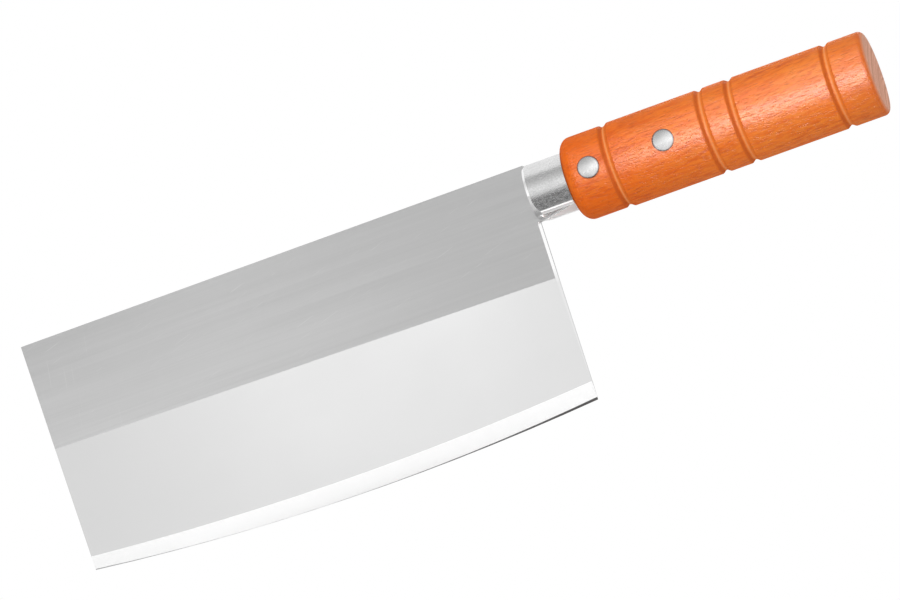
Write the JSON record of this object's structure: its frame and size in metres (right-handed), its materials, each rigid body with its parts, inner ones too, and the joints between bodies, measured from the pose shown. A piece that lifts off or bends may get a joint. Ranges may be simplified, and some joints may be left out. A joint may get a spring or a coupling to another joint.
{
  "type": "chinese cleaver",
  "caption": "Square-bladed vegetable cleaver: a flat steel blade, a steel collar round its neck and a turned, grooved wooden handle held by domed rivets.",
  "frame": {"origin": "under the middle of the knife's length, in the blade's plane, level with the lowest point of the cutting edge", "axes": "+X from the blade's tip to the handle's butt, +Y to the knife's right side, +Z from the cutting edge up to the spine"},
  "size_m": [0.3422, 0.0334, 0.1011],
  "materials": {
    "blade_steel": "satin brushed upper half, polished lower half and bright edge bevel",
    "collar_steel": "fine satin with a polished rim",
    "handle_wood": "orange-brown fine-grained hardwood under a satin varnish",
    "rivet_metal": "polished domed heads"
  },
  "bodies": {
    "root": {"blade": "blade_steel", "collar_left": "collar_steel", "collar_right": "collar_steel", "handle": "handle_wood", "front_rivet_sleeve": "rivet_metal", "front_rivet_pin": "rivet_metal", "rear_rivet_sleeve": "rivet_metal", "rear_rivet_pin": "rivet_metal"}
  },
  "joints": []
}
